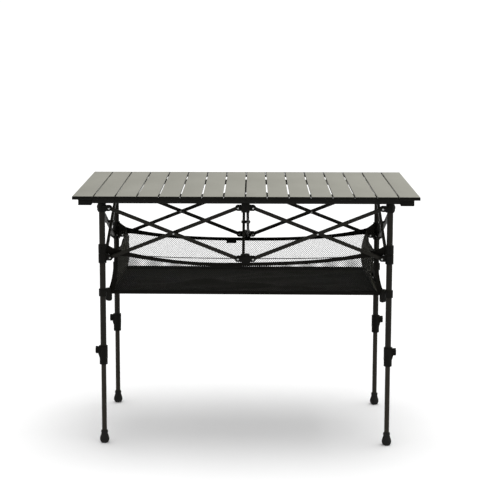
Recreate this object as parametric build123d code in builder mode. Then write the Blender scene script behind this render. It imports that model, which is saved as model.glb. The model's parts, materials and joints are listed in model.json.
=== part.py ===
from build123d import *
import os
from math import hypot

# Folding camp kitchen table: a roll-up slatted top on a scissor frame with four
# telescoping legs and a fabric basket.  Origin on the ground under the middle of
# the top, X along the length, -Y to the front, Z up.  Millimetres.

# Top
top_length = 950
top_width = 550
table_height = 720
slat_count = 16
slat_gap = 4.0
slat_thickness = 9
slat_wall = 1.8
slat_lip = 8
slat_cap = 3
slat_edge = 0.6
slat_cap_edge = 1.0
strap_slot_width = 45
strap_slot_height = 2.6
strap_inset = 61
saddle_length = 46
saddle_height = 6
saddle_edge = 1.5

# Rails under the slats
rail_width = 20
rail_height = 13.5
rail_wall = 1.5
rail_reach = 9
rail_cap_length = 37
rail_cap_drop = 5
rail_cap_wall = 2.5
rail_cap_edge = 1.6

# Scissor frame
leg_inset = 74
pivot_offset = 21
pivot_rise = 142
head_above_pivot = 13.2
bar_depth = 10
bar_width = 8
bar_spacing = 12
bar_edge = 1.0
bolt_radius = 3.0
bolt_head_radius = 4.4
bolt_head_height = 2.2
cheek_thickness = 3
cheek_radius = 8
web_thickness = 1.8

# Legs
tube_radius = 8.5
tube_wall = 1.0
tube_length = 445
inner_radius = 7.0
inner_overlap = 50
foot_radius = 13.5
foot_height = 36
foot_base = 10
foot_collar = 2
foot_tread = 0.5
foot_bulge = 0.28
foot_neck = 0.72
sleeve_wall = 3
head_height = 24
head_roof = 4
slider_height = 26
slider_below_pivot = 14
stop_height = 24
stop_above_slider = 2
button_radius = 3
button_height = 2.5
clamp_height = 53
clamp_skirt = 18
clamp_radius = 12.0
clamp_lip = 12
boss_width = 15
boss_reach = 14.5
boss_height = 22
boss_slope = 10
boss_crown = 3
knob_radius = 8.5
knob_lobe = 2.2
knob_lobes = 6
knob_length = 7.5
knob_edge = 0.6
knob_down = 12

# Basket
basket_inset = 21
basket_wall = 2
basket_floor_z = 429
basket_rim_drop = 27
rim_above_pivot = 10
ring_height = 20
ring_down = 99
horn_drop = 27
horn_width = 10
horn_shoulder = 5
horn_corner = 3
horn_root_out = 2.5

# Clearances
pin_gap = 0.06
seat_gap = 0.3
slide_gap = 0.4
fit_gap = 0.1

# Worked out from the sizes above
bay = top_length / 2 - leg_inset
leg_x = bay
leg_y = bay / 2
slat_pitch = (top_length + slat_gap) / slat_count
slat_width = slat_pitch - slat_gap
slat_bottom = table_height - slat_thickness
rail_top = slat_bottom - saddle_height
rail_bottom = rail_top - rail_height
rail_half = top_length / 2 - rail_reach
head_top = rail_bottom - seat_gap
upper_z = head_top - head_above_pivot
lower_z = upper_z - pivot_rise
bar_span = bay - 2 * pivot_offset
bar_length = hypot(bar_span, pivot_rise)
plane_out = bar_spacing / 2
slot_half = bar_width / 2 + seat_gap
fork_half = slot_half + cheek_thickness
sleeve_radius = tube_radius + sleeve_wall
tube_top = head_top - head_roof
tube_bottom = tube_top - tube_length
clamp_bottom = tube_bottom - clamp_lip
clamp_top = clamp_bottom + clamp_height
knob_z = clamp_top - knob_down
inner_length = tube_bottom + inner_overlap - foot_base
stop_bottom = lower_z - slider_below_pivot + slider_height + stop_above_slider
ring_z = lower_z - ring_down
tread_radius = foot_radius * foot_tread
collar_radius = inner_radius + foot_collar
horn_reach = hypot(basket_inset, basket_inset) - seat_gap
horn_root = clamp_radius + horn_root_out

corners = {
    "front_left": (-1, -1),
    "front_right": (1, -1),
    "back_left": (-1, 1),
    "back_right": (1, 1),
}

os.makedirs("parts", exist_ok=True)


def save(part, name):
    part.label = name
    export_step(part, f"parts/{name}.step")


def upright_plane(point, along):
    """Plane through point: local x runs along, local y is up."""
    along = Vector(*along)
    return Plane(origin=point, x_dir=along, z_dir=along.cross(Vector(0, 0, 1)))


def add_post(x, y, bottom, height, radius, mode=Mode.ADD):
    """Round upright in the current part."""
    with BuildSketch(Plane.XY.offset(bottom)) as outline:
        with Locations((x, y)):
            Circle(radius)
    extrude(outline.sketch, amount=height, mode=mode)


def add_fork(pivot, along, reach, web_side):
    """Fork that holds a bar's end: two cheeks and a web on the side the bar never swings to."""
    for start in (slot_half, -fork_half):
        with BuildSketch(upright_plane(pivot, along).offset(start)) as cheek:
            Circle(cheek_radius)
            with Locations((-reach / 2, 0)):
                Rectangle(reach, 2 * cheek_radius)
        extrude(cheek.sketch, amount=cheek_thickness)
    web_middle = web_side * (cheek_radius - web_thickness / 2)
    with BuildSketch(upright_plane(pivot, along).offset(-fork_half)) as web:
        with Locations((-reach / 2, web_middle)):
            Rectangle(reach, web_thickness)
    extrude(web.sketch, amount=2 * fork_half)


def drill_fork(pivot, along):
    """Bolt hole through both cheeks."""
    with BuildSketch(upright_plane(pivot, along).offset(-fork_half)) as hole:
        Circle(bolt_radius + pin_gap)
    extrude(hole.sketch, amount=2 * fork_half, mode=Mode.SUBTRACT)


def add_pin(point, along, low, high, radius):
    """Pin across the fork, from low to high along its own axis."""
    with BuildSketch(upright_plane(point, along).offset(low)) as disc:
        Circle(radius)
    extrude(disc.sketch, amount=high - low)


def end_bolt(point, along):
    """Bolt with a head at each end, through a fork and the bar in it."""
    outside = fork_half + seat_gap
    with BuildPart() as bolt:
        add_pin(point, along, -outside, outside, bolt_radius)
        add_pin(point, along, outside, outside + bolt_head_height, bolt_head_radius)
        add_pin(point, along, -outside - bolt_head_height, -outside, bolt_head_radius)
    return bolt.part


def middle_rivet(point, along, side):
    """Rivet through the crossing of two bars, with a spacer between them."""
    inner_face = bar_width / 2
    other_face = bar_spacing + bar_width / 2
    spacer_low = bar_width / 2 + seat_gap / 2
    spacer_high = bar_spacing - bar_width / 2 - seat_gap / 2
    spans = [
        (-inner_face - seat_gap, other_face + seat_gap, bolt_radius),
        (spacer_low, spacer_high, bolt_head_radius),
        (-inner_face - seat_gap - bolt_head_height, -inner_face - seat_gap, bolt_head_radius),
        (other_face + seat_gap, other_face + seat_gap + bolt_head_height, bolt_head_radius),
    ]
    with BuildPart() as rivet:
        for low, high, radius in spans:
            ends = sorted((side * low, side * high))
            add_pin(point, along, ends[0], ends[1], radius)
    return rivet.part


def scissor_bar(name, high_end, low_end, rivet_side):
    """Flat bar between two pivots, drilled at both ends and in the middle."""
    high, low = Vector(*high_end), Vector(*low_end)
    middle = (high + low) * 0.5
    direction = (low - high).normalized()
    level = Vector(direction.X, direction.Y, 0).normalized()
    across = level.cross(Vector(0, 0, 1))
    side_plane = Plane(origin=middle, x_dir=direction, z_dir=across)
    with BuildPart() as bar:
        with BuildSketch(side_plane) as outline:
            SlotCenterToCenter(bar_length, bar_depth)
        extrude(outline.sketch, amount=bar_width / 2, both=True)
        chamfer(bar.faces().filter_by(Axis(middle, across)).edges(), bar_edge)
        with BuildSketch(side_plane) as holes:
            with Locations((-bar_length / 2, 0), (0, 0), (bar_length / 2, 0)):
                Circle(bolt_radius + pin_gap)
        extrude(holes.sketch, amount=bar_width, both=True, mode=Mode.SUBTRACT)
    pieces = [bar.part, end_bolt(high, level), end_bolt(low, level)]
    if rivet_side:
        pieces.append(middle_rivet(middle, level, rivet_side))
    save(Compound(children=pieces), name)


# Slats: channel extrusions with end caps and a saddle over each rail
for index in range(slat_count):
    middle_x = -top_length / 2 + slat_width / 2 + index * slat_pitch
    inside = slat_width - 2 * slat_wall
    with BuildPart() as slat:
        with BuildSketch(Plane.XZ.offset(-top_width / 2 + slat_cap)):
            with Locations((middle_x, slat_bottom + slat_thickness / 2)):
                Rectangle(slat_width, slat_thickness)
            with Locations((middle_x, slat_bottom + slat_thickness / 2)):
                Rectangle(inside, slat_thickness - 2 * slat_wall, mode=Mode.SUBTRACT)
            with Locations((middle_x, slat_bottom + slat_wall / 2)):
                Rectangle(inside - 2 * slat_lip, slat_wall, mode=Mode.SUBTRACT)
        extrude(amount=top_width - 2 * slat_cap)
        slot_z = slat_bottom + slat_thickness / 2
        slot_y = top_width / 2 - strap_inset
        with Locations((middle_x, slot_y, slot_z), (middle_x, -slot_y, slot_z)):
            Box(slat_width, strap_slot_width, strap_slot_height, mode=Mode.SUBTRACT)
        long_edges = slat.faces().sort_by(Axis.Z)[-1].edges().filter_by(Axis.Y)
        chamfer(long_edges, slat_edge)
    pieces = [slat.part]
    for side in (-1, 1):
        with BuildPart() as cap:
            with Locations((middle_x, side * (top_width - slat_cap) / 2, slat_bottom + slat_thickness / 2)):
                Box(slat_width, slat_cap, slat_thickness)
            outer_rim = cap.faces().sort_by(Axis.Y)[0 if side < 0 else -1].edges()
            chamfer(outer_rim, slat_cap_edge)
        with BuildPart() as saddle:
            with Locations((middle_x, side * leg_y, slat_bottom - saddle_height / 2)):
                Box(saddle_length, rail_width, saddle_height)
            chamfer(saddle.faces().sort_by(Axis.Z)[0].edges().filter_by(Axis.Y), saddle_edge)
        pieces += [cap.part, saddle.part]
    save(Compound(children=pieces), f"slat_{index + 1:02d}")

# Rails: two box tubes with a moulded cap over each end
pieces = []
for side in (-1, 1):
    with BuildPart() as rail:
        with BuildSketch(Plane.YZ.offset(-rail_half + rail_cap_wall)):
            with Locations((side * leg_y, rail_top - rail_height / 2)):
                RectangleRounded(rail_width, rail_height, rail_wall)
                Rectangle(rail_width - 2 * rail_wall, rail_height - 2 * rail_wall, mode=Mode.SUBTRACT)
        extrude(amount=2 * (rail_half - rail_cap_wall))
    pieces.append(rail.part)
    for end in (-1, 1):
        cap_low = rail_bottom - rail_cap_drop
        with BuildPart() as cap:
            with Locations((end * (rail_half - rail_cap_length / 2), side * leg_y, (rail_top + cap_low) / 2)):
                Box(rail_cap_length, rail_width + 2 * rail_cap_wall, rail_top - cap_low)
            chamfer(cap.faces().sort_by(Axis.Z)[0].edges().filter_by(Axis.Y), rail_cap_edge)
            bore_middle = end * (rail_half - rail_cap_wall - rail_cap_length / 2)
            with Locations((bore_middle, side * leg_y, rail_top - rail_height / 2)):
                Box(rail_cap_length, rail_width, rail_height, mode=Mode.SUBTRACT)
        pieces.append(cap.part)
save(Compound(children=pieces), "top_rails")

# Legs: outer tube with its moulded fittings, slider, basket ring, knob, inner leg with foot
for corner, (sx, sy) in corners.items():
    x, y = sx * leg_x, sy * leg_y
    along_x, along_y = (-sx, 0, 0), (0, -sy, 0)

    with BuildPart() as tube:
        add_post(x, y, tube_bottom, tube_length, tube_radius)
        add_post(x, y, tube_bottom, tube_length, tube_radius - tube_wall, Mode.SUBTRACT)
    save(tube.part, f"{corner}_leg_tube")

    # Cross bars swap planes from one end to the other, so front and back forks differ
    head_plane_y = x - sy * sx * plane_out
    slider_plane_y = x + sy * sx * plane_out
    head_pivots = [
        ((x - sx * pivot_offset, y + sy * plane_out, upper_z), along_x),
        ((head_plane_y, y - sy * pivot_offset, upper_z), along_y),
    ]
    slider_pivots = [
        ((x - sx * pivot_offset, y - sy * plane_out, lower_z), along_x),
        ((slider_plane_y, y - sy * pivot_offset, lower_z), along_y),
    ]

    with BuildPart() as head:
        add_post(x, y, head_top - head_height, head_height, sleeve_radius)
        for pivot, along in head_pivots:
            add_fork(pivot, along, pivot_offset, 1)
        add_post(x, y, head_top - head_height, head_height - head_roof, tube_radius + fit_gap, Mode.SUBTRACT)
        for pivot, along in head_pivots:
            drill_fork(pivot, along)
    with BuildPart() as stop:
        add_post(x, y, stop_bottom, stop_height, sleeve_radius)
        button_plane = Plane(origin=(x, y, stop_bottom + stop_height / 2), z_dir=(0, sy, 0))
        with BuildSketch(button_plane):
            Circle(button_radius)
        extrude(amount=sleeve_radius + button_height)
        add_post(x, y, stop_bottom, stop_height, tube_radius + fit_gap, Mode.SUBTRACT)
    with BuildPart() as clamp:
        add_post(x, y, clamp_bottom, clamp_skirt, sleeve_radius)
        add_post(x, y, clamp_bottom + clamp_skirt, clamp_height - clamp_skirt, clamp_radius)
        with BuildSketch(upright_plane((x, y, clamp_top), (sx, 0, 0))):
            with BuildLine():
                Polyline(
                    (0, 0),
                    (clamp_radius, 0),
                    (boss_reach, -boss_crown),
                    (boss_reach, -boss_height),
                    (sleeve_radius, -boss_height - boss_slope),
                    (0, -boss_height - boss_slope),
                    close=True,
                )
            make_face()
        extrude(amount=boss_width / 2, both=True)
        add_post(x, y, tube_bottom, clamp_height, tube_radius + fit_gap, Mode.SUBTRACT)
        add_post(x, y, clamp_bottom, clamp_height, inner_radius + slide_gap, Mode.SUBTRACT)
        with BuildSketch(Plane(origin=(x, y, knob_z), z_dir=(sx, 0, 0))):
            Circle(bolt_radius + pin_gap)
        extrude(amount=2 * boss_reach, mode=Mode.SUBTRACT)
    save(Compound(children=[head.part, stop.part, clamp.part]), f"{corner}_leg_fittings")

    with BuildPart() as slider:
        slider_bottom = lower_z - slider_below_pivot
        add_post(x, y, slider_bottom, slider_height, sleeve_radius)
        for pivot, along in slider_pivots:
            add_fork(pivot, along, pivot_offset, -1)
        add_post(x, y, slider_bottom, slider_height, tube_radius + slide_gap, Mode.SUBTRACT)
        for pivot, along in slider_pivots:
            drill_fork(pivot, along)
    save(slider.part, f"{corner}_slider")

    with BuildPart() as ring:
        add_post(x, y, ring_z - ring_height / 2, ring_height, sleeve_radius)
        with BuildSketch(upright_plane((x, y, ring_z), (-sx, -sy, 0)).offset(-horn_width / 2)):
            with BuildLine():
                Polyline(
                    (tube_radius, ring_height / 2),
                    (horn_reach - horn_shoulder, ring_height / 2),
                    (horn_reach, ring_height / 2 - horn_shoulder),
                    (horn_reach, horn_corner - horn_drop),
                    (horn_reach - horn_corner, -horn_drop),
                    (horn_root + horn_corner, -horn_drop),
                    (horn_root, horn_corner - horn_drop),
                    (horn_root, -ring_height / 2),
                    (tube_radius, -ring_height / 2),
                    close=True,
                )
            make_face()
        extrude(amount=horn_width)
        add_post(x, y, ring_z - ring_height / 2, ring_height, tube_radius + slide_gap, Mode.SUBTRACT)
    save(ring.part, f"{corner}_basket_ring")

    knob_plane = Plane(origin=(x, y, knob_z), z_dir=(sx, 0, 0))
    with BuildPart() as knob:
        with BuildSketch(knob_plane.offset(boss_reach + seat_gap)):
            Circle(knob_radius)
            with PolarLocations(knob_radius, knob_lobes):
                Circle(knob_lobe)
        extrude(amount=knob_length)
        chamfer(knob.faces().sort_by(Axis(knob_plane.origin, knob_plane.z_dir))[-1].edges(), knob_edge)
        with BuildSketch(knob_plane.offset(tube_radius + slide_gap)):
            Circle(bolt_radius)
        extrude(amount=boss_reach + seat_gap - tube_radius)
    save(knob.part, f"{corner}_knob")

    with BuildPart() as inner:
        add_post(x, y, foot_base, inner_length, inner_radius)
        add_post(x, y, foot_base, inner_length, inner_radius - tube_wall, Mode.SUBTRACT)
    with BuildPart() as foot:
        with BuildSketch(Plane.XZ):
            with BuildLine():
                Polyline((0, foot_height), (0, 0), (tread_radius, 0))
                Spline(
                    (tread_radius, 0),
                    (foot_radius, foot_height * foot_bulge),
                    (collar_radius + fit_gap, foot_height * foot_neck),
                    (collar_radius, foot_height),
                )
                Line((collar_radius, foot_height), (0, foot_height))
            make_face()
        revolve(axis=Axis.Z)
        add_post(0, 0, foot_base, foot_height, inner_radius + fit_gap, Mode.SUBTRACT)
    placed_foot = foot.part.moved(Location((x, y, 0)))
    save(Compound(children=[inner.part, placed_foot]), f"{corner}_inner_leg")

# Hubs in the middle of the front and back rows
for row, sy in (("front", -1), ("back", 1)):
    y = sy * leg_y
    levels = (("upper", upper_z, 1, -sy * plane_out, -1), ("lower", lower_z, -1, sy * plane_out, 1))
    for level, z, web_side, cross_x, row_shift in levels:
        row_y = y + sy * row_shift * plane_out
        pivots = [
            ((pivot_offset, row_y, z), (1, 0, 0)),
            ((-pivot_offset, row_y, z), (-1, 0, 0)),
            ((cross_x, y - sy * pivot_offset, z), (0, -sy, 0)),
        ]
        bottom = head_top - head_height if web_side > 0 else z - slider_below_pivot
        height = head_height if web_side > 0 else slider_height
        with BuildPart() as hub:
            with BuildSketch(Plane.XY.offset(bottom)):
                with Locations((0, y)):
                    RectangleRounded(2 * sleeve_radius, 2 * sleeve_radius, sleeve_wall)
            extrude(amount=height)
            for pivot, along in pivots:
                add_fork(pivot, along, pivot_offset, web_side)
            for pivot, along in pivots:
                drill_fork(pivot, along)
        save(hub.part, f"{row}_{level}_hub")

# Bars along the front and back rows
near, far = pivot_offset, bay - pivot_offset
for row, sy in (("front", -1), ("back", 1)):
    outer_y = sy * (leg_y + plane_out)
    inner_y = sy * (leg_y - plane_out)
    for side, sx in (("left", -1), ("right", 1)):
        scissor_bar(
            f"{row}_{side}_outer_bar",
            (sx * far, outer_y, upper_z),
            (sx * near, outer_y, lower_z),
            -sx * sy,
        )
        scissor_bar(
            f"{row}_{side}_inner_bar",
            (sx * near, inner_y, upper_z),
            (sx * far, inner_y, lower_z),
            0,
        )

# Cross bars from front to back
reach_y = leg_y - pivot_offset
for place, x, out in (("left", -leg_x, -1), ("centre", 0, 1), ("right", leg_x, 1)):
    scissor_bar(
        f"{place}_cross_front_bar",
        (x + out * plane_out, -reach_y, upper_z),
        (x + out * plane_out, reach_y, lower_z),
        -out,
    )
    scissor_bar(
        f"{place}_cross_back_bar",
        (x - out * plane_out, reach_y, upper_z),
        (x - out * plane_out, -reach_y, lower_z),
        0,
    )

# Basket: thin fabric box with an open top whose long rims sag between the legs
half_x, half_y = leg_x - basket_inset, leg_y - basket_inset
rim_z = lower_z + rim_above_pivot
basket_height = rim_z - basket_floor_z
with BuildPart() as basket:
    with Locations((0, 0, basket_floor_z + basket_height / 2)):
        Box(2 * half_x, 2 * half_y, basket_height)
    with Locations((0, 0, basket_floor_z + basket_wall + basket_height / 2)):
        Box(2 * (half_x - basket_wall), 2 * (half_y - basket_wall), basket_height, mode=Mode.SUBTRACT)
    with BuildSketch(Plane.XZ.offset(-half_y)):
        with BuildLine():
            ThreePointArc((-half_x, rim_z), (0, rim_z - basket_rim_drop), (half_x, rim_z))
            Line((half_x, rim_z), (-half_x, rim_z))
        make_face()
    extrude(amount=2 * half_y, mode=Mode.SUBTRACT)
save(basket.part, "basket")
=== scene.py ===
import json
from math import cos, exp, hypot, pi, radians, sin, tau

import bmesh
import bpy
from mathutils import Euler, Matrix, Vector, noise


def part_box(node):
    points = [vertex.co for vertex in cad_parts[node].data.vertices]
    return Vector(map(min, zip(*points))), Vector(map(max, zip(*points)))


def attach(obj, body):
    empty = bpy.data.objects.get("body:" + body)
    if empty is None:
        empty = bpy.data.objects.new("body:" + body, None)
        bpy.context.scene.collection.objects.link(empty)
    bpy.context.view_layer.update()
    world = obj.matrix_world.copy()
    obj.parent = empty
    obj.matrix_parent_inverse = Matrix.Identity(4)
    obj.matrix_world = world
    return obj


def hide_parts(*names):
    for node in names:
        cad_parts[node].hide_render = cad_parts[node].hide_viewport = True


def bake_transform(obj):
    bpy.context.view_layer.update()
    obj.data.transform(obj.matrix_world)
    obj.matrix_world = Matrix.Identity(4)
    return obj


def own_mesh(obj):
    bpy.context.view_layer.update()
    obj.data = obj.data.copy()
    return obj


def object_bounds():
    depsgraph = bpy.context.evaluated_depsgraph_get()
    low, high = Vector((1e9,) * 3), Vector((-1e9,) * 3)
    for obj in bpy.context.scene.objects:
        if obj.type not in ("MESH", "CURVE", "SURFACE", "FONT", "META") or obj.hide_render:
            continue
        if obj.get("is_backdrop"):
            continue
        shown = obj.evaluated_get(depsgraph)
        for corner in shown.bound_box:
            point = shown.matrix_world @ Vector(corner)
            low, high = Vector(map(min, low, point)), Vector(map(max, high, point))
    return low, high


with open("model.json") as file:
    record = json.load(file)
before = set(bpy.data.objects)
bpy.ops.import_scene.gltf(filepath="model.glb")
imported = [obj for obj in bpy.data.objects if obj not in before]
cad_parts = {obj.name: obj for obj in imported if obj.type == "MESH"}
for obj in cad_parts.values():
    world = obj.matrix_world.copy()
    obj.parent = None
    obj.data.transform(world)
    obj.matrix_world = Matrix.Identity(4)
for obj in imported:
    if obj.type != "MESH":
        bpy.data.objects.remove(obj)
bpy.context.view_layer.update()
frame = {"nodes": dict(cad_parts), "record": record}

# The looks of a folding camp kitchen table.  Metres, origin on the ground under the middle
# of the top, X along the length, -Y to the front, Z up.

# Slats
SLAT_THICKNESS = 0.009
SLAT_WALL = 0.0018
SLAT_LIP = 0.008
SLAT_CAP = 0.003
SLAT_ROUND = 0.0012
SLAT_DRAFT = 0.0011
CAP_SPACER = 0.0017
STRAP_INSET = 0.061
STRAP_SLOT_WIDTH = 0.045
STRAP_SLOT_HEIGHT = 0.0026
STRAP_WIDTH = 0.043
STRAP_THICKNESS = 0.0016
STRAP_REACH = 0.011
PLUG_LENGTH = 0.010
PLUG_GAP = 0.0003
PLUG_EDGE = 0.0004
SLAT_CAP_EDGE = 0.0009
SPACER_INSET = 0.001
SPACER_DROP = 0.0002
SPACER_EDGE = 0.0002
SADDLE_EDGE = 0.0012
SADDLE_LENGTH = 0.046
SADDLE_HEIGHT = 0.006
SADDLE_LIP = (0.006, 0.003, 0.0014)  # how much narrower each way, height over the slat wall
SADDLE_STUD = [(0, -0.0001), (0.0036, 0), (0.0036, 0.0007), (0.0028, 0.0012)]

# Rails
RAIL_WIDTH = 0.020
RAIL_HEIGHT = 0.0135
RAIL_WALL = 0.0015
RAIL_CAP_LENGTH = 0.037
RAIL_CAP_WALL = 0.0025
RAIL_CAP_STEP = 0.001
RAIL_CAP_EDGE = 0.0012
RAIL_WALL_EDGE = 0.0008

# Scissor frame
BOLT_SEAT = 0.0076
RIVET_NEAR = 0.0043
RIVET_FAR = 0.0163
BOLT_SOCKET_RADIUS = 0.0028
BOLT_HEAD_RISE = 0.0022
BOLT_DOME = 0.0010
BOLT_SUNK = 0.0004
BOLT_RIM = 0.0001
BOLT_DOME_ANGLES = (0.4, 0.8, 1.1)

# Inner legs and feet
INNER_RADIUS = 0.007
INNER_WALL = 0.001
FOOT_HEIGHT = 0.036
FOOT_RADIUS = 0.0135
FOOT_BASE = 0.010
FOOT_NECK = INNER_RADIUS + 0.002
# The foot's outline from the ground up.  Tread: share of the radius, height.  Taper with
# its groove: depth inside the radius, height.  Collar: reach outside the neck, height.
FOOT_TREAD = [(0.52, 0), (0.68, 0.0007), (0.83, 0.0026), (0.94, 0.0058), (1, 0.0098), (1, 0.0112)]
FOOT_TAPER = [
    (0.0007, 0.0117),
    (0.0007, 0.0127),
    (0.0002, 0.0132),
    (0.0011, 0.0170),
    (0.0026, 0.0215),
]
FOOT_COLLAR = [
    (0.0006, 0.0258),
    (0, 0.0290),
    (0.0009, 0.0302),
    (0.0009, 0.0332),
    (0.0003, FOOT_HEIGHT),
]

# Basket
RIM_INSET = 0.035
FLOOR_INSET = 0.0215
WALL_INSET = 0.0205
RIM_END_RISE = 0.014
RIM_SAG = {-1: 0.032, 1: 0.026}
END_RIM_SAG = 0.014
RIM_POWER = 2.6
FRONT_SLUMP = 0.004
SLUMP_PLACE = 0.3  # left of the middle, as a share of half the length, like the width
SLUMP_WIDTH = 0.45
END_FULLNESS = 1.12  # set to cover the end walls' area as they hang, not read from the photo
CORNER_SLACK = {-1: 0.013, 1: 0.021}
FLOOR_BELOW_PIVOT = 0.107
CLOTH = 0.0006
WEBBING = 0.0018
POLYESTER_PITCH = 0.0011
WEBBING_PITCH = 0.0016
ELASTIC_PITCH = 0.0014
RIM_WIDTH = 0.010
HEM_WIDTH = 0.010
HEM_OUT = 0.0012
HEM_THIN = 0.8
WALL_LEAN = 0.002
NET_BOW = 0.004
END_SLACK = 0.011
FLOOR_SAG = 0.0035
# Ripples of the cloth: size of a wave, height.  The end walls' size is a share of the wall
NET_RIPPLE = (0.07, 0.0016)
END_RIPPLE = (0.9, 0.004)
FLOOR_RIPPLE = (0.12, 0.0015)
FLOOR_CELL = 0.006
SEAM_HEIGHT = 0.37
SEAM_WIDTH = 0.0025
SEAM_THICKNESS = 0.0006
SEAM_INSET = 0.0007
TAB_X = -0.045
TAB_INSET = 0.002
TAB_BELOW_RIM = 0.004
TAB_WIDTH = 0.030
TAB_DROP = 0.008
TIE_WIDTH = 0.027
TIE_RIM_WIDTH = 0.018
TIE_RISE = 0.0125
TIE_STANDOFF = 0.0086
TIE_SAG = 0.003
TIE_CONTROLS = (0.35, 0.70)
# Control points of a corner strap: inset from the leg, distance outside the wall, and the
# height above the slider's bottom for the first two and above the floor for the others
CORNER_STRAP = [
    (0.036, 0.001, 0.012),
    (0.034, 0.0025, -0.025),
    (0.029, 0.003, 0.022),
    (0.0195, 0.0055, 0.006),
]
CORNER_STRAP_TILT = (0.94, -0.34)
CORNER_STRAP_WIDTH = (0.011, 0.010)  # at the slider, and what it gains towards the ring
CORNER_STRAP_ROOM = 0.0144  # between slider and ring when the frame is folded
CORNER_STRAP_OVER = 0.010

SIDES = {"left": -1, "right": 1}
ROWS = {"front": -1, "back": 1}
CORNERS = {f"{row}_{side}": (sx, sy) for row, sy in ROWS.items() for side, sx in SIDES.items()}

# Places read from the frame
joints = {joint["name"]: joint for joint in frame["record"]["behaviour"]["joints"]}
bodies = frame["record"]["behaviour"]["bodies"]


def middle(node):
    low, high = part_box(node)
    return (low + high) / 2


leg_x = middle("front_right_leg_tube").x
leg_y = middle("back_right_leg_tube").y
upper_pivot = Vector(joints["frame_fold"]["pos_m"])
upper_z = upper_pivot.z
lower_z = joints["front_left_slider_turn"]["pos_m"][2]
pivot_offset = abs(upper_pivot.x)
plane_out = leg_y - abs(upper_pivot.y)
fold = radians(joints["frame_fold"]["range_deg"][1])
slat_count = sum(node.startswith("slat_") for node in frame["nodes"])


# ---------------------------------------------------------------- materials


class Nodes:
    """Helpers that add nodes to a tree and join them."""

    def __init__(self, tree):
        self.tree = tree

    def add(self, kind, **settings):
        node = self.tree.nodes.new(kind)
        for name, value in settings.items():
            setattr(node, name, value)
        return node

    def join(self, output, socket):
        self.tree.links.new(output, socket)

    def feed(self, value, socket):
        """Sets a socket to a number, or joins an output to it."""
        if isinstance(value, (int, float)):
            socket.default_value = value
        else:
            self.join(value, socket)

    def math(self, operation, *values):
        node = self.add("ShaderNodeMath", operation=operation)
        for value, socket in zip(values, node.inputs):
            self.feed(value, socket)
        return node.outputs[0]

    def parts(self, vector):
        """The X, Y and Z outputs of a vector."""
        node = self.add("ShaderNodeSeparateXYZ")
        self.join(vector, node.inputs[0])
        return node.outputs

    def spread(self, value, low, high, start=0.0, end=1.0):
        """Maps start..end to low..high."""
        node = self.add("ShaderNodeMapRange")
        node.inputs["From Min"].default_value = start
        node.inputs["From Max"].default_value = end
        node.inputs["To Min"].default_value = low
        node.inputs["To Max"].default_value = high
        self.join(value, node.inputs["Value"])
        return node.outputs["Result"]

    def choose(self, factor, no, yes):
        """One number or another, by a factor of 0 or 1."""
        node = self.add("ShaderNodeMix", data_type="FLOAT")
        for name, value in (("Factor", factor), ("A", no), ("B", yes)):
            self.feed(value, node.inputs[name])
        return node.outputs["Result"]


class Finish(Nodes):
    """One node material."""

    def __init__(self, name, roughness=0.5, metallic=0.0, specular=0.5):
        self.material = bpy.data.materials.new(name)
        self.material.use_nodes = True
        super().__init__(self.material.node_tree)
        self.shader = self.tree.nodes["Principled BSDF"]
        self.set("Roughness", roughness)
        self.set("Metallic", metallic)
        self.set("Specular IOR Level", specular)
        self.place = self.add("ShaderNodeTexCoord").outputs["Object"]

    def set(self, socket, value):
        self.shader.inputs[socket].default_value = value

    def stretched(self, scale, turn=(0, 0, 0)):
        """The object's coordinates, scaled, as for brushing or a weave."""
        mapping = self.add("ShaderNodeMapping")
        mapping.inputs["Scale"].default_value = scale
        mapping.inputs["Rotation"].default_value = turn
        self.join(self.place, mapping.inputs["Vector"])
        return mapping.outputs["Vector"]

    def noise(self, scale, detail=4.0, where=None, roughness=0.55):
        node = self.add("ShaderNodeTexNoise")
        node.inputs["Scale"].default_value = scale
        node.inputs["Detail"].default_value = detail
        node.inputs["Roughness"].default_value = roughness
        self.join(where or self.place, node.inputs["Vector"])
        return node.outputs["Fac"]

    def wave(self, scale, where, axis):
        node = self.add("ShaderNodeTexWave", bands_direction=axis, wave_profile="SIN")
        node.inputs["Scale"].default_value = scale
        self.join(where, node.inputs["Vector"])
        return node.outputs["Fac"]

    def ramp(self, value, dark, light, low=0.3, high=0.7):
        node = self.add("ShaderNodeValToRGB")
        ends = node.color_ramp.elements
        ends[0].position, ends[1].position = low, high
        ends[0].color, ends[1].color = (*dark, 1), (*light, 1)
        self.join(value, node.inputs["Fac"])
        return node.outputs["Color"]

    def colour(self, output):
        self.join(output, self.shader.inputs["Base Color"])

    def rough(self, output):
        self.join(output, self.shader.inputs["Roughness"])

    def bump(self, height, distance, strength=1.0, edge=0.0):
        """Relief, and over edges a soft round of that radius."""
        node = self.add("ShaderNodeBump")
        node.inputs["Distance"].default_value = distance
        node.inputs["Strength"].default_value = strength
        self.join(height, node.inputs["Height"])
        if edge:
            bevel = self.add("ShaderNodeBevel", samples=4)
            bevel.inputs["Radius"].default_value = edge
            self.join(bevel.outputs["Normal"], node.inputs["Normal"])
        self.join(node.outputs["Normal"], self.shader.inputs["Normal"])


def anodised():
    """Warm grey anodised slats, brushed along their length, with faint cloudy patches."""
    finish = Finish("slat_anodised", metallic=0.35, specular=0.4)
    brushed = finish.noise(1.0, 5.0, finish.stretched((2600, 9, 2600)), 0.7)
    cloud = finish.noise(7.0, 3.0, finish.stretched((1.0, 0.6, 1.0)))
    mixed = finish.math(
        "ADD", finish.math("MULTIPLY", brushed, 0.45), finish.math("MULTIPLY", cloud, 0.55)
    )
    finish.colour(finish.ramp(mixed, (0.262, 0.257, 0.231), (0.316, 0.311, 0.281), 0.35, 0.65))
    finish.rough(finish.spread(brushed, 0.40, 0.58))
    finish.bump(brushed, 0.00006, 0.35)
    return finish.material


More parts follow.
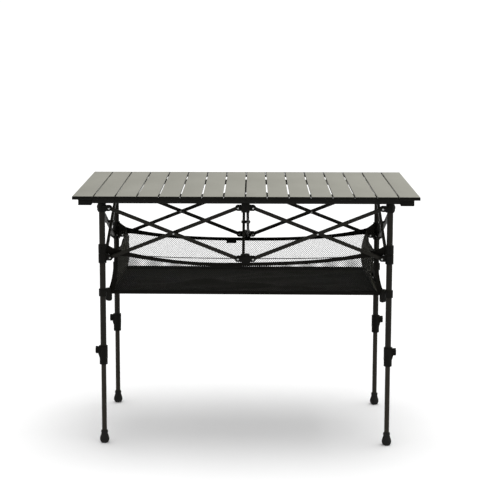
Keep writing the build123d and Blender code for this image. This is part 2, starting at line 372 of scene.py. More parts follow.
def powder_coat(name, dark, light):
    """Olive-black powder coat with the fine orange peel of a cured coat."""
    finish = Finish(name, specular=0.13)
    peel = finish.noise(900.0, 3.0)
    cloud = finish.noise(38.0, 4.0)
    finish.colour(finish.ramp(cloud, dark, light))
    finish.rough(finish.spread(cloud, 0.42, 0.56))
    finish.bump(peel, 0.00012, 0.4, edge=0.0006)
    return finish.material


def moulding():
    """Black moulded nylon with a spark-eroded grain, paler where it has rubbed."""
    finish = Finish("black_moulding", specular=0.11)
    grain = finish.noise(1900.0, 2.0)
    wear = finish.noise(60.0, 5.0)
    finish.colour(
        finish.ramp(wear, (0.0026, 0.0024, 0.0016), (0.0056, 0.0052, 0.0036), 0.35, 0.75)
    )
    finish.rough(finish.spread(wear, 0.5, 0.68))
    finish.bump(grain, 0.00010, 0.55, edge=0.0005)
    return finish.material


def zinc():
    """Bright zinc-plated bolt heads with fine turning marks."""
    finish = Finish("zinc_plate", metallic=1.0)
    marks = finish.noise(700.0, 4.0)
    finish.colour(finish.ramp(marks, (0.40, 0.41, 0.41), (0.62, 0.63, 0.62)))
    finish.rough(finish.spread(marks, 0.24, 0.42))
    finish.bump(marks, 0.00005, 0.5)
    return finish.material


def rubber():
    """Matt black rubber with dusty patches."""
    finish = Finish("foot_rubber", specular=0.2)
    grain = finish.noise(500.0, 4.0)
    dust = finish.noise(45.0, 5.0)
    finish.colour(
        finish.ramp(dust, (0.0095, 0.0092, 0.0088), (0.022, 0.021, 0.019), 0.4, 0.85)
    )
    finish.rough(finish.spread(dust, 0.72, 0.9))
    finish.bump(grain, 0.00025, 0.6)
    return finish.material


# A wave texture turns 20 radians in a unit, so this over the pitch gives one wave a pitch
WAVE_SCALE = 6.28 / 20


def woven(name, dark, light, pitch, sheen=0.03, twill=False):
    """Plain weave or twill from two crossed waves, with slubs and soft shading."""
    finish = Finish(name, roughness=0.82, specular=0.10)
    finish.set("Sheen Weight", sheen)
    finish.set("Sheen Roughness", 0.45)
    turn = (radians(45), radians(45), 0) if twill else (0, 0, 0)
    where = finish.stretched((1, 1, 1), turn)
    scale = WAVE_SCALE / pitch
    warp, weft, rise = (finish.wave(scale, where, axis) for axis in "XYZ")
    weave = finish.math("MULTIPLY", finish.math("ADD", warp, rise), weft)
    slub = finish.noise(26.0, 6.0, finish.stretched((1.0, 2.5, 1.0)))
    tone = finish.math(
        "ADD", finish.math("MULTIPLY", weave, 0.25), finish.math("MULTIPLY", slub, 0.75)
    )
    finish.colour(finish.ramp(tone, dark, light, 0.32, 0.72))
    finish.rough(finish.spread(slub, 0.74, 0.9))
    finish.bump(weave, 0.00035, 0.5)
    return finish.material


def net(pitch=0.0041, hole=0.455):
    """Knitted polyester net: round holes on a square lattice set at 45 degrees."""
    finish = Finish("basket_net", roughness=0.75, specular=0.1)
    where = finish.stretched((1 / pitch, 1 / pitch, 1 / pitch), (0, radians(45), 0))
    parts = finish.parts(where)
    squares = []
    for axis in ("X", "Z"):
        cell = finish.math("FRACT", parts[axis])
        offset = finish.math("SUBTRACT", cell, 0.5)
        squares.append(finish.math("MULTIPLY", offset, offset))
    distance = finish.math("SQRT", finish.math("ADD", *squares))
    thread = finish.math("GREATER_THAN", distance, hole)
    finish.join(thread, finish.shader.inputs["Alpha"])
    fuzz = finish.noise(300.0, 4.0)
    finish.colour(finish.ramp(fuzz, (0.010, 0.010, 0.009), (0.020, 0.020, 0.018)))
    finish.bump(distance, 0.0003, 0.5)
    return finish.material


def pale_floor():
    """Plain matt white paper sweep."""
    finish = Finish("paper_floor", roughness=0.9, specular=0.1)
    fibre = finish.noise(3.0, 3.0)
    finish.colour(finish.ramp(fibre, (0.925, 0.925, 0.925), (0.94, 0.94, 0.94)))
    return finish.material


anodised_slat = anodised()
tube_paint = powder_coat("tube_paint", (0.0096, 0.0084, 0.0060), (0.0132, 0.0116, 0.0084))
inner_paint = powder_coat("inner_tube_paint", (0.0180, 0.0152, 0.0108), (0.0238, 0.0202, 0.0146))
bar_paint = powder_coat("bar_paint", (0.0088, 0.0080, 0.0058), (0.0126, 0.0114, 0.0084))
rail_paint = powder_coat("rail_paint", (0.0040, 0.0037, 0.0024), (0.0062, 0.0057, 0.0038))
plastic = moulding()
zinc_plate = zinc()
foot_rubber = rubber()
polyester = woven(
    "basket_polyester", (0.0062, 0.0056, 0.0036), (0.0112, 0.0102, 0.0068), POLYESTER_PITCH
)
# The same polyester as the floor, painted several times lighter: painted light for the lit inside
# of the end walls.
painted_lit_end_cloth = woven(
    "basket_end_polyester", (0.0300, 0.0290, 0.0215), (0.0460, 0.0445, 0.0335), POLYESTER_PITCH
)
webbing_cloth = woven(
    "basket_webbing", (0.0032, 0.0029, 0.0020), (0.0062, 0.0056, 0.0040), WEBBING_PITCH, 0.02, True
)
elastic = woven(
    "strap_elastic", (0.0035, 0.0035, 0.0034), (0.0065, 0.0065, 0.0062), ELASTIC_PITCH, 0.02
)
basket_net = net()


# ---------------------------------------------------------------- mesh makers


class Shape:
    """A mesh in the making: each call adds one closed form to it."""

    def __init__(self):
        self.mesh = bmesh.new()

    def block(self, low, high, edge=0.0006, segments=2):
        """Box from corner to corner with rounded edges.  It is rounded in a mesh of its own,
        because in a large one the order of the new corners changes from run to run."""
        low, high = Vector(low), Vector(high)
        size = high - low
        placed = Matrix.Translation((low + high) / 2) @ Matrix.Diagonal((*size, 1))
        box = bmesh.new()
        corners = bmesh.ops.create_cube(box, size=1, matrix=placed)["verts"]
        if edge:
            bmesh.ops.bevel(
                box,
                geom=corners + box.edges[:],
                offset=edge,
                segments=segments,
                profile=0.5,
                affect="EDGES",
            )
        data = bpy.data.meshes.new("block")
        box.to_mesh(data)
        box.free()
        self.mesh.from_mesh(data)
        bpy.data.meshes.remove(data)
        return self

    def turned(self, outline, origin, axis=(0, 0, 1), steps=32):
        """Outline of (radius, height) points turned about an axis through origin."""
        turn = Vector((0, 0, 1)).rotation_difference(Vector(axis)).to_matrix()
        rings = []
        for radius, height in outline:
            angles = [tau * k / steps for k in range(steps)] if radius > 1e-7 else [0.0]
            spots = [Vector((radius * cos(a), radius * sin(a), height)) for a in angles]
            rings.append([self.mesh.verts.new(Vector(origin) + turn @ spot) for spot in spots])
        for lower, upper in zip(rings, rings[1:]):
            for k in range(steps):
                corners = [lower[k % len(lower)], lower[(k + 1) % len(lower)]]
                corners += [upper[(k + 1) % len(upper)], upper[k % len(upper)]]
                self.face(corners)
        return self

    def face(self, corners):
        unique = list(dict.fromkeys(corners))
        if len(unique) > 2:
            self.mesh.faces.new(unique)

    def prism(self, outline, stations, open_spans=()):
        """Closed (x, z) outline carried along Y through the stations, its ends filled.
        An open span is (first, second, start, end): the side from outline point first to
        point second is left out from station start to station end."""
        rings = [[self.mesh.verts.new((x, y, z)) for x, z in outline] for y in stations]
        count = len(outline)
        for index, (near, far) in enumerate(zip(rings, rings[1:])):
            for k in range(count):
                if any(k == span[0] and span[1] <= index < span[2] for span in open_spans):
                    continue
                nxt = (k + 1) % count
                self.mesh.faces.new((near[k], near[nxt], far[nxt], far[k]))
        return rings

    def surface(self, point_at, columns, rows, thickness):
        """Sheet of a thickness round the surface point_at(u, v), u and v from 0 to 1."""
        grid = [
            [Vector(point_at(i / columns, j / rows)) for j in range(rows + 1)]
            for i in range(columns + 1)
        ]

        def normal(i, j):
            along = grid[min(i + 1, columns)][j] - grid[max(i - 1, 0)][j]
            across = grid[i][min(j + 1, rows)] - grid[i][max(j - 1, 0)]
            return along.cross(across).normalized()

        def layer(side):
            return [
                [
                    self.mesh.verts.new(grid[i][j] + normal(i, j) * side * thickness)
                    for j in range(rows + 1)
                ]
                for i in range(columns + 1)
            ]

        top, bottom = layer(0.5), layer(-0.5)
        for side in (top, bottom):
            for left, right in zip(side, side[1:]):
                for j in range(rows):
                    self.mesh.faces.new((left[j], right[j], right[j + 1], left[j + 1]))
        border = [(i, 0) for i in range(columns)] + [(columns, j) for j in range(rows)]
        border += [(i, rows) for i in range(columns, 0, -1)] + [(0, j) for j in range(rows, 0, -1)]
        for (i, j), (k, m) in zip(border, border[1:] + border[:1]):
            self.mesh.faces.new((top[i][j], top[k][m], bottom[k][m], bottom[i][j]))
        return self

    def piece(self, name, material, slot, body=None, replaced=(), sharp=38):
        """The finished object, riding on its body."""
        bmesh.ops.recalc_face_normals(self.mesh, faces=self.mesh.faces[:])
        data = bpy.data.meshes.new(name)
        self.mesh.to_mesh(data)
        self.mesh.free()
        data.shade_smooth()
        data.set_sharp_from_angle(angle=radians(sharp))
        data.materials.append(material)
        made = bpy.data.objects.new(name, data)
        bpy.context.scene.collection.objects.link(made)
        if body:
            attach(made, body)
        if replaced:
            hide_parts(*replaced)
        return made


def arc(centre, radius, start, end, steps):
    """Points round an arc in a plane, angles in degrees."""
    angles = [radians(start + (end - start) * k / steps) for k in range(steps + 1)]
    return [(centre[0] + radius * cos(a), centre[1] + radius * sin(a)) for a in angles]


def body_of(node):
    return next(body for body, nodes in bodies.items() if node in nodes)


def paint(names, material):
    """Gives CAD nodes their finish."""
    for name in names:
        for place in frame["nodes"][name].material_slots:
            place.material = material


# ---------------------------------------------------------------- slatted top


def channel_outline(low_x, high_x, base, slot_low, slot_high):
    """Cross-section of a slat: a channel with rounded shoulders, its lips apart underneath."""
    top = base + SLAT_THICKNESS
    small = SLAT_ROUND / 2

    def left(z, inset=0.0):
        return low_x + inset + SLAT_DRAFT * (top - z) / SLAT_THICKNESS

    def right(z, inset=0.0):
        return high_x - inset - SLAT_DRAFT * (top - z) / SLAT_THICKNESS

    lip_left, lip_right = left(base, SLAT_WALL + SLAT_LIP), right(base, SLAT_WALL + SLAT_LIP)
    outline = [(lip_left, base)]
    outline += arc((left(base) + small, base + small), small, 270, 180, 2)
    outline += [(left(slot_low), slot_low), (left(slot_high), slot_high)]
    outline += arc((low_x + SLAT_ROUND, top - SLAT_ROUND), SLAT_ROUND, 180, 90, 4)
    outline += arc((high_x - SLAT_ROUND, top - SLAT_ROUND), SLAT_ROUND, 90, 0, 4)
    outline += [(right(slot_high), slot_high), (right(slot_low), slot_low)]
    outline += arc((right(base) - small, base + small), small, 0, -90, 2)
    outline += [(lip_right, base), (lip_right, base + SLAT_WALL)]
    for side in (right, left):
        levels = [base + SLAT_WALL, slot_low, slot_high, top - SLAT_WALL]
        if side is left:
            levels.reverse()
        outline += [(side(z, SLAT_WALL), z) for z in levels]
    outline += [(lip_left, base + SLAT_WALL)]
    return outline


def frame_slots(shape, rings, outer_sides, inner_sides):
    """Walls round the strap slots, between each outer side and the inner one behind it."""
    for start in (1, 3):
        near, far = rings[start], rings[start + 1]
        for o0, i0 in zip(outer_sides, inner_sides):
            o1, i1 = o0 + 1, i0 + 1
            shape.mesh.faces.new((near[o0], far[o0], far[i1], near[i1]))
            shape.mesh.faces.new((near[o1], near[i0], far[i0], far[o1]))
            shape.mesh.faces.new((near[o0], near[i1], near[i0], near[o1]))
            shape.mesh.faces.new((far[o0], far[o1], far[i0], far[i1]))


def make_channel(node, low, high, base, end, slot_y):
    slot_low = base + (SLAT_THICKNESS - STRAP_SLOT_HEIGHT) / 2
    slot_high = slot_low + STRAP_SLOT_HEIGHT
    half = STRAP_SLOT_WIDTH / 2
    stations = [-end, -slot_y - half, -slot_y + half, slot_y - half, slot_y + half, end]
    outline = channel_outline(low.x, high.x, base, slot_low, slot_high)
    first_left, _, first_right, _, inner_right, _, inner_left, _ = [
        k for k, (_, z) in enumerate(outline) if z in (slot_low, slot_high)
    ]
    sides = (first_left, first_right, inner_right, inner_left)
    shape = Shape()
    rings = shape.prism(outline, stations, [(k, s, s + 1) for k in sides for s in (1, 3)])
    frame_slots(shape, rings, (first_left, first_right), (inner_left, inner_right))
    for ring in (rings[0], rings[-1]):
        shape.mesh.faces.new(ring)
    channel = shape.piece(
        f"{node}_channel", anodised_slat, "slat_aluminium", body_of(node), [node]
    )
    ends = bmesh.new()
    ends.from_mesh(channel.data)
    bmesh.ops.triangulate(ends, faces=[face for face in ends.faces if len(face.verts) > 4])
    ends.to_mesh(channel.data)
    ends.free()


def make_slat_fittings(index, low, high, base, end):
    """End caps with their spacers and plugs, and the saddles underneath."""
    fittings = Shape()
    centre = (low.x + high.x) / 2
    inside = SLAT_WALL + PLUG_GAP
    for side in (-1, 1):
        cap = sorted((side * end, side * high.y))
        fittings.block((low.x, cap[0], base), (high.x, cap[1], high.z), SLAT_CAP_EDGE, 3)
        for flank, x in ((-1, low.x), (1, high.x)):
            if 1 <= index + flank <= slat_count:
                spacer = sorted((x - flank * CAP_SPACER / 2, x + flank * CAP_SPACER))
                fittings.block(
                    (spacer[0], cap[0], base + SPACER_INSET),
                    (spacer[1], cap[1], high.z - SPACER_DROP),
                    SPACER_EDGE,
                    1,
                )
        plug = sorted((side * (end - PLUG_LENGTH), side * end))
        fittings.block(
            (low.x + inside, plug[0], base + inside),
            (high.x - inside, plug[1], high.z - inside),
            PLUG_EDGE,
            1,
        )
        for part in (-1, 1):
            stud = centre + part * SADDLE_LENGTH / 4
            spot = (stud, side * leg_y, base - SADDLE_HEIGHT)
            fittings.turned(SADDLE_STUD, spot, steps=16)
        seat = Vector((SADDLE_LENGTH / 2, RAIL_WIDTH / 2, 0))
        spot = Vector((centre, side * leg_y, base))
        fittings.block(spot - seat - Vector((0, 0, SADDLE_HEIGHT)), spot + seat, SADDLE_EDGE, 3)
        narrow_x, narrow_y, rise = SADDLE_LIP
        lip = seat - Vector((narrow_x, narrow_y, 0))
        lip_top = spot + lip + Vector((0, 0, SLAT_WALL + rise))
        fittings.block(spot - lip, lip_top, PLUG_EDGE, 1)
    node = f"slat_{index:02d}"
    fittings.piece(f"{node}_end_caps_and_saddles", plastic, "black_plastic", body_of(node))


def make_slat(index):
    """One slat with its fittings.  Returns its right edge, strap level and strap place."""
    node = f"slat_{index:02d}"
    low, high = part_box(node)
    base = high.z - SLAT_THICKNESS
    end = high.y - SLAT_CAP
    slot_y = high.y - STRAP_INSET
    make_channel(node, low, high, base, end, slot_y)
    make_slat_fittings(index, low, high, base, end)
    return high.x, base + SLAT_THICKNESS / 2, slot_y, body_of(node)


def make_strap(number, gap_x, level, slot_y):
    """Elastic through two neighbouring slats."""
    shape = Shape()
    half = STRAP_WIDTH / 2
    for side in (-1, 1):

        def point_at(u, v, y=side * slot_y):
            return gap_x + (2 * u - 1) * STRAP_REACH, y + (2 * v - 1) * half, level

        shape.surface(point_at, 16, 6, STRAP_THICKNESS)
    strap = shape.piece(f"slat_elastic_{number:02d}", elastic, "fabric")
    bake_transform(strap)


slats = [make_slat(index) for index in range(1, slat_count + 1)]
for number, ((edge, level, slot_y, before), (*_, after)) in enumerate(zip(slats, slats[1:]), 1):
    next_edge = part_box(f"slat_{number + 1:02d}")[0].x
    make_strap(number, (edge + next_edge) / 2, level, slot_y)


# ---------------------------------------------------------------- rails


def make_rails():
    low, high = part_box("top_rails")
    top, under, foot = high.z, high.z - RAIL_HEIGHT, low.z + RAIL_CAP_STEP
    tubes, caps = Shape(), Shape()
    for side in (-1, 1):
        y = side * leg_y
        half = RAIL_WIDTH / 2
        reach = high.x - RAIL_CAP_WALL
        tubes.block((-reach, y - half, under), (reach, y + half, top), RAIL_WALL, 4)
        for end in (-1, 1):
            outer, inner = end * high.x, end * (high.x - RAIL_CAP_LENGTH)
            ends = sorted((outer, inner))
            skin = half + RAIL_CAP_WALL
            caps.block((ends[0], y - skin, low.z), (ends[1], y + skin, under), RAIL_CAP_EDGE, 3)
            for flank in (-1, 1):
                wall = sorted((y + flank * half, y + flank * skin))
                caps.block((ends[0], wall[0], foot), (ends[1], wall[1], top), RAIL_WALL_EDGE, 2)
            plate = sorted((outer, outer - end * RAIL_CAP_WALL))
            caps.block((plate[0], y - skin, foot), (plate[1], y + skin, top), RAIL_WALL_EDGE, 2)
    tubes.piece("top_rail_tubes", rail_paint, "painted_tube", "top_base", ["top_rails"])
    caps.piece("top_rail_end_caps", plastic, "black_plastic", "top_base")


make_rails()


# ---------------------------------------------------------------- bolts


def bolt_head(shape, spot, axis):
    """Bright dome with a socket, in the middle of the black head under it."""
    spot = Vector(spot) + Vector(axis) * BOLT_HEAD_RISE
    radius, height = BOLT_SOCKET_RADIUS, BOLT_DOME
    crown = height - BOLT_RIM
    outline = [(0, -BOLT_SUNK), (radius, -BOLT_SUNK), (radius, BOLT_RIM)]
    outline += [(radius * cos(a), BOLT_RIM + crown * sin(a)) for a in BOLT_DOME_ANGLES]
    outline += [(radius * 0.36, height), (radius * 0.30, height * 0.35), (0, height * 0.35)]
    shape.turned(outline, spot, axis, 20)


def make_bolts(name, high, low, rivet_side):
    """Heads of the end bolts and the middle rivet of one bar."""
    high, low = Vector(high), Vector(low)
    level = Vector((low.x - high.x, low.y - high.y, 0)).normalized()
    across = level.cross(Vector((0, 0, 1)))
    shape = Shape()
    for end in (high, low):
        for side in (-1, 1):
            bolt_head(shape, end + across * side * BOLT_SEAT, across * side)
    if rivet_side:
        centre = (high + low) / 2
        bolt_head(shape, centre - across * rivet_side * RIVET_NEAR, across * -rivet_side)
        bolt_head(shape, centre + across * rivet_side * RIVET_FAR, across * rivet_side)
    shape.piece(f"{name}_bolt_heads", zinc_plate, "painted_bar", name)


near_x, far_x = pivot_offset, leg_x - pivot_offset
for row, sy in ROWS.items():
    outer_y, inner_y = sy * (leg_y + plane_out), sy * (leg_y - plane_out)
    for side, sx in SIDES.items():
        upper_far, upper_near = (sx * far_x, outer_y, upper_z), (sx * near_x, inner_y, upper_z)
        lower_far, lower_near = (sx * far_x, inner_y, lower_z), (sx * near_x, outer_y, lower_z)
        make_bolts(f"{row}_{side}_outer_bar", upper_far, lower_near, -sx * sy)
        make_bolts(f"{row}_{side}_inner_bar", upper_near, lower_far, 0)
cross_y = leg_y - pivot_offset
for place, x, out in (("left", -leg_x, -1), ("centre", 0, 1), ("right", leg_x, 1)):
    for row, sy, plane, rivet in (("front", -1, out, -out), ("back", 1, -out, 0)):
        cross_x = x + plane * plane_out
        high, low = (cross_x, sy * cross_y, upper_z), (cross_x, -sy * cross_y, lower_z)
        make_bolts(f"{place}_cross_{row}_bar", high, low, rivet)


# ---------------------------------------------------------------- legs


def make_leg(corner, sx, sy):
    node = f"{corner}_inner_leg"
    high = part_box(node)[1]
    axis = (sx * leg_x, sy * leg_y, 0)
    bore = INNER_RADIUS - INNER_WALL
    tube = [(bore, FOOT_BASE), (INNER_RADIUS, FOOT_BASE), (INNER_RADIUS, high.z)]
    tube += [(bore, high.z), (bore, FOOT_BASE)]
    inner = Shape().turned(tube, axis)
    inner.piece(f"{corner}_inner_tube", inner_paint, "painted_tube", node, [node])
    foot = [(0, 0)] + [(FOOT_RADIUS * share, z) for share, z in FOOT_TREAD]
    foot += [(FOOT_RADIUS - depth, z) for depth, z in FOOT_TAPER]
    foot += [(FOOT_NECK + reach, z) for reach, z in FOOT_COLLAR]
    foot += [(INNER_RADIUS, FOOT_HEIGHT), (INNER_RADIUS, FOOT_BASE), (0, FOOT_BASE)]
    rubber_foot = Shape().turned(foot, axis, steps=40)
    rubber_foot.piece(f"{corner}_rubber_foot", foot_rubber, "black_plastic", node)


MOULDED_AT_CORNER = ("leg_fittings", "slider", "basket_ring", "knob")
for corner, (sx, sy) in CORNERS.items():
    make_leg(corner, sx, sy)
    paint([f"{corner}_leg_tube"], tube_paint)
    paint([f"{corner}_{piece}" for piece in MOULDED_AT_CORNER], plastic)
paint([f"{row}_{level}_hub" for row in ROWS for level in ("upper", "lower")], plastic)
paint([name for name in frame["nodes"] if name.endswith("_bar")], bar_paint)


# ---------------------------------------------------------------- basket

rim_x = leg_x - RIM_INSET
floor_x = leg_x - FLOOR_INSET
wall_y = leg_y - WALL_INSET
floor_z = lower_z - FLOOR_BELOW_PIVOT
rim_z = lower_z + RIM_END_RISE

# The rows come to this distance from the middle when the frame is folded
bar_length = hypot(leg_x - 2 * pivot_offset, upper_z - lower_z)
rise_angle = Vector((leg_x - 2 * pivot_offset, upper_z - lower_z)).angle_signed(Vector((1, 0)))
folded_bay = bar_length * cos(rise_angle + fold) + 2 * pivot_offset
keep_x = (folded_bay - FLOOR_INSET) / floor_x
keep_y = (folded_bay / 2 - WALL_INSET) / wall_y


def rim_height(u, sy):
    """Long rim: it drops from the sliders and runs nearly level past the hub.  The front
    one slumps a little at the left."""
    slump = 0.0
    if sy < 0:
        slump = FRONT_SLUMP * exp(-(((u + SLUMP_PLACE) / SLUMP_WIDTH) ** 2)) * (1 - u**4)
    return rim_z - RIM_SAG[sy] * (1 - abs(u) ** RIM_POWER) - slump


def drawn_in(sx, v):
    """How far the basket's corners at one end are pulled in between hem and rim."""
    return CORNER_SLACK[sx] * sin(pi * v**0.8)


def ripple(x, y, z, size, height):
    return height * noise.fractal(Vector((x, y, z)) / size, 0.8, 2.0, 3)


def long_wall(sy):
    """Net wall along the front or back, from the floor's hem up to the rim."""

    def point_at(u, v):
        s = 2 * u - 1
        slack = drawn_in(1 if s > 0 else -1, v) * s * abs(s) ** 5
        x = s * (floor_x + (rim_x - floor_x) * v) - slack
        z = floor_z + (rim_height(s, sy) - floor_z) * v
        bow = NET_BOW * sin(pi * v) * (1 - s**4)
        out = sy * (wall_y + WALL_LEAN * v - bow)
        return x, out + ripple(x, sy, z, *NET_RIPPLE) * sin(pi * v), z

    return point_at


def end_wall(sx):
    """Cloth wall across an end, drawn in at half height by the slack."""

    def point_at(u, v):
        s = 2 * u - 1
        z = floor_z + (rim_z - END_RIM_SAG * (1 - s * s) - floor_z) * v
        slack = END_SLACK * sin(pi * v) * (1 - s * s)
        slack += ripple(sx, s, v, *END_RIPPLE) * (1 - abs(s) ** 3) * v
        x = sx * (floor_x + (rim_x - floor_x) * v - slack - drawn_in(sx, v))
        return x, s * (wall_y + WALL_LEAN * v), z

    return point_at


# Soft creases of the floor: (x, y) of a point on each, its direction, width and height
CREASES = [
    ((-0.16, -0.02), 18, 0.022, 0.0046),
    ((-0.02, -0.08), 14, 0.018, -0.0042),
    ((0.12, -0.05), -9, 0.020, 0.0044),
    ((0.25, -0.10), -16, 0.016, 0.0038),
    ((-0.28, -0.10), 34, 0.022, 0.0034),
    ((0.30, 0.06), -28, 0.024, -0.0034),
]


def floor_height(x, y):
    """The floor hangs from its hem, a little lower in the middle and softly creased."""
    s, t = x / floor_x, y / wall_y
    inside = (1 - s**4) * (1 - t**4)
    height = -FLOOR_SAG * inside
    for (cx, cy), turn, width, rise in CREASES:
        across = -(x - cx) * sin(radians(turn)) + (y - cy) * cos(radians(turn))
        height += rise * exp(-((across / width) ** 2)) * inside
    return floor_z + height + ripple(x, y, 0, *FLOOR_RIPPLE) * inside


def band(points, width, tilt=(0, 0, 1)):
    """Flat webbing along a line of points: point_at for Shape.surface."""

    def point_at(u, v):
        place = u * (len(points) - 1)
        index = min(int(place), len(points) - 2)
        spot = points[index].lerp(points[index + 1], place - index)
        size = width(u) if callable(width) else width
        return spot + Vector(tilt) * (v - 0.5) * size

    return point_at


def line_on(wall, v, steps, offset=(0, 0, 0)):
    """Points along a wall at one height of it, moved by an offset."""
    return [Vector(wall(k / steps, v)) + Vector(offset) for k in range(steps + 1)]


def hold(piece, body, axis, anchor, keep):
    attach(piece, body)
    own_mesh(piece)


def area_of(point_at, columns=40, rows=20):
    """Area of a wall as it hangs, from a grid on it.  It says nothing about stretch."""
    total = 0.0
    for i in range(columns):
        for j in range(rows):
            a = Vector(point_at(i / columns, j / rows))
            b = Vector(point_at((i + 1) / columns, j / rows))
            c = Vector(point_at(i / columns, (j + 1) / rows))
            total += (b - a).cross(c - a).length
    return total


def make_long_wall(row, sy):
    """Net wall with its rim, hem and, at the back, a seam and a small tab."""
    wall = long_wall(sy)
    body = f"{row}_lower_hub"
    squashed = ((1, 0, 0), (0, 0, 0), keep_x)
    net_wall = Shape().surface(wall, 120, 18, CLOTH / 2)
    net_wall = net_wall.piece(f"basket_{row}_net", basket_net, "fabric")
    hold(net_wall, body, *squashed)
    if row == "front":
        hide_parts("basket")
    flat = (2 * floor_x, rim_z - floor_z)
    min(area_of(wall), flat[0] * flat[1])

    def rim_width(u):
        return RIM_WIDTH * (1 + 0.8 * abs(2 * u - 1) ** 8)

    rim = Shape()
    rim.surface(band(line_on(wall, 1, 80), rim_width), 120, 4, WEBBING)
    hem = line_on(wall, 0, 80, (0, sy * HEM_OUT, HEM_WIDTH / 2))
    rim.surface(band(hem, HEM_WIDTH), 120, 4, WEBBING * HEM_THIN)
    if row == "back":
        seam = line_on(wall, SEAM_HEIGHT, 80, (0, -SEAM_INSET, 0))
        rim.surface(band(seam, SEAM_WIDTH), 120, 2, SEAM_THICKNESS)
        top = Vector((TAB_X, sy * wall_y - TAB_INSET, rim_height(0, 1) - TAB_BELOW_RIM))
        tab = [top, top - Vector((0, 0, TAB_DROP))]
        rim.surface(band(tab, TAB_WIDTH, (1, 0, 0)), 8, 8, WEBBING)
    hold(rim.piece(f"basket_{row}_rim", webbing_cloth, "fabric"), body, *squashed)


def make_end_wall(side, sx):
    """Cloth wall, its polyester painted lighter as if lit, with the webbing along its rim and hem.
    """
    wall = end_wall(sx)
    body = f"front_{side}_slider"
    squashed = ((0, 1, 0), (0, -wall_y, 0), keep_y)
    cloth = Shape().surface(wall, 60, 24, CLOTH)
    cloth = cloth.piece(f"basket_{side}_end", painted_lit_end_cloth, "fabric")
    hold(cloth, body, *squashed)
    flat = (2 * wall_y, (rim_z - floor_z) * END_FULLNESS)
    min(area_of(wall), flat[0] * flat[1])
    trim = Shape()
    trim.surface(band(line_on(wall, 1, 40), RIM_WIDTH), 60, 4, WEBBING)
    hem = line_on(wall, 0, 40, (sx * HEM_OUT, 0, HEM_WIDTH / 2))
    trim.surface(band(hem, HEM_WIDTH), 60, 4, WEBBING * HEM_THIN)
    hold(trim.piece(f"basket_{side}_trim", webbing_cloth, "fabric"), body, *squashed)


def make_floor_panel(place, start, end, body):
    def point_at(u, v):
        x, y = start + (end - start) * u, (2 * v - 1) * wall_y
        return x, y, floor_height(x, y)

    cloth = Shape().surface(point_at, round((end - start) / FLOOR_CELL), 60, CLOTH)
    cloth = cloth.piece(f"basket_floor_{place}", polyester, "fabric")
    hold(cloth, body, (0, 1, 0), (0, -wall_y, 0), keep_y)


def curved(points, steps=20):
    """Points along the Bezier curve of four control points."""
    a, b, c, d = points
    line = []
    for k in range(steps + 1):
        t = k / steps
        ends = a * (1 - t) ** 3 + d * t**3
        line.append(ends + b * 3 * t * (1 - t) ** 2 + c * 3 * t * t * (1 - t))
    return line


def make_corner_strap(corner, sx, sy, slider_low):
    """Webbing from the slider down to the ring's horn, wider towards the ring."""
    points = []
    levels = (slider_low, slider_low, floor_z, floor_z)
    for (inset, out, rise), level in zip(CORNER_STRAP, levels):
        points.append(Vector((sx * (leg_x - inset), sy * (wall_y + out), level + rise)))
    tilt = (sx * CORNER_STRAP_TILT[0], sy * CORNER_STRAP_TILT[1], 0)
    top_width, widening = CORNER_STRAP_WIDTH
    shape = Shape().surface(
        band(curved(points), lambda u: top_width + widening * u**2, tilt), 30, 4, WEBBING
    )
    strap = shape.piece(f"{corner}_corner_strap", webbing_cloth, "fabric")
    room = slider_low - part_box(f"{corner}_basket_ring")[1].z
    keep = CORNER_STRAP_ROOM / (room + CORNER_STRAP_OVER)
    hold(strap, f"{corner}_slider", (0, 0, 1), (0, 0, slider_low), keep)


def make_rim_tie(corner, sx, sy, slider_high):
    """Webbing from above the slider down to the rim, tapering to the rim's width."""
    rim_end = Vector((sx * rim_x, sy * (wall_y + WALL_LEAN), rim_z))
    collar = Vector(
        (sx * (leg_x - TIE_STANDOFF), sy * (leg_y - TIE_STANDOFF), slider_high + TIE_RISE)
    )
    near, far = (collar.lerp(rim_end, share) for share in TIE_CONTROLS)
    line = curved((collar, near, far + Vector((0, 0, -TIE_SAG)), rim_end))
    shape = Shape().surface(
        band(line, lambda u: TIE_WIDTH * (1 - u) + TIE_RIM_WIDTH * u), 16, 4, WEBBING
    )
    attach(shape.piece(f"{corner}_rim_tie", webbing_cloth, "fabric"), f"{corner}_slider")


for row, sy in ROWS.items():
    make_long_wall(row, sy)
for side, sx in SIDES.items():
    make_end_wall(side, sx)
third = floor_x / 3
make_floor_panel("left", -floor_x, -third, "front_left_slider")
make_floor_panel("middle", -third, third, "front_lower_hub")
make_floor_panel("right", third, floor_x, "front_right_slider")
slider_low, slider_high = (end.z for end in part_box("front_left_slider"))
for corner, (sx, sy) in CORNERS.items():
    make_corner_strap(corner, sx, sy, slider_low)
    make_rim_tie(corner, sx, sy, slider_high)


# ---------------------------------------------------------------- stage


FLOOR_SIZE = 60
SKY_DIFFUSE = 0.86
SKY_SEEN = 1.05
# Reflected brightness at the front and at the back, and the directions they belong to
SKY_FRONT_TO_BACK = (0.10, 0.75, -0.8, 0.8)
GLOSSY_BLUE_LOSS = 0.12
SUN_STRENGTH = 1.3
SUN_ANGLE = 38
SUN_TILT = (-4, 5.5)
LENS = 99.75
LENS_SHIFT = (0.10, -0.12)
CAMERA_PLACE = (0.0203, -4.0136, 1.257)
CAMERA_YAW, CAMERA_PITCH, CAMERA_ROLL = 2.206, 7.884, -0.133


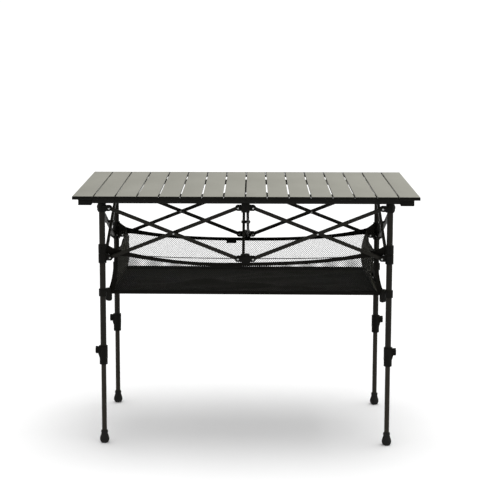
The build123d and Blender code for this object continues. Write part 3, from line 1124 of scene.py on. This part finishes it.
def make_floor():
    bpy.ops.mesh.primitive_plane_add(size=FLOOR_SIZE)
    floor = bpy.context.object
    floor.name = "floor"
    floor.data.materials.append(pale_floor())
    floor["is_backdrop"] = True


def make_world():
    """Bright studio.  What the object reflects grows from front to back and left to right,
    with a little less blue; diffuse rays and the camera meet an even white."""
    world = bpy.data.worlds.new("studio")
    bpy.context.scene.world = world
    world.use_nodes = True
    sky = Nodes(world.node_tree)
    background = sky.tree.nodes["Background"]
    background.inputs["Strength"].default_value = 1.0
    parts = sky.parts(sky.add("ShaderNodeTexCoord").outputs["Generated"])
    front_to_back = sky.spread(parts["Y"], *SKY_FRONT_TO_BACK)
    side_to_side = sky.math("ADD", parts["X"], 1.0)
    reflected = sky.math("MULTIPLY", front_to_back, side_to_side)
    rays = sky.add("ShaderNodeLightPath").outputs
    level = sky.choose(rays["Is Diffuse Ray"], reflected, SKY_DIFFUSE)
    level = sky.choose(rays["Is Camera Ray"], level, SKY_SEEN)
    warmth = sky.math("MULTIPLY_ADD", rays["Is Glossy Ray"], -GLOSSY_BLUE_LOSS, 1.0)
    tint = sky.add("ShaderNodeCombineColor")
    sky.join(level, tint.inputs["Red"])
    sky.join(level, tint.inputs["Green"])
    sky.join(sky.math("MULTIPLY", warmth, level), tint.inputs["Blue"])
    sky.join(tint.outputs["Color"], background.inputs["Color"])


def make_sun():
    lamp = bpy.data.lights.new("overhead", "SUN")
    lamp.energy = SUN_STRENGTH
    lamp.angle = radians(SUN_ANGLE)
    light = bpy.data.objects.new("overhead", lamp)
    light.rotation_euler = Euler((radians(SUN_TILT[0]), radians(SUN_TILT[1]), 0))
    bpy.context.scene.collection.objects.link(light)
    bpy.context.scene.view_settings.view_transform = "Standard"


def make_camera():
    lens = bpy.data.cameras.new("camera")
    lens.lens = LENS
    lens.sensor_width = 36
    lens.shift_x, lens.shift_y = LENS_SHIFT
    camera = bpy.data.objects.new("camera", lens)
    facing = Matrix.Rotation(radians(CAMERA_YAW), 3, "Z")
    facing = facing @ Matrix.Rotation(pi / 2 - radians(CAMERA_PITCH), 3, "X")
    facing = facing @ Matrix.Rotation(radians(CAMERA_ROLL), 3, "Z")
    camera.matrix_world = Matrix.Translation(CAMERA_PLACE) @ facing.to_4x4()
    bpy.context.scene.collection.objects.link(camera)
    bpy.context.scene.camera = camera


make_floor()
make_world()
make_sun()
make_camera()

low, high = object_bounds()
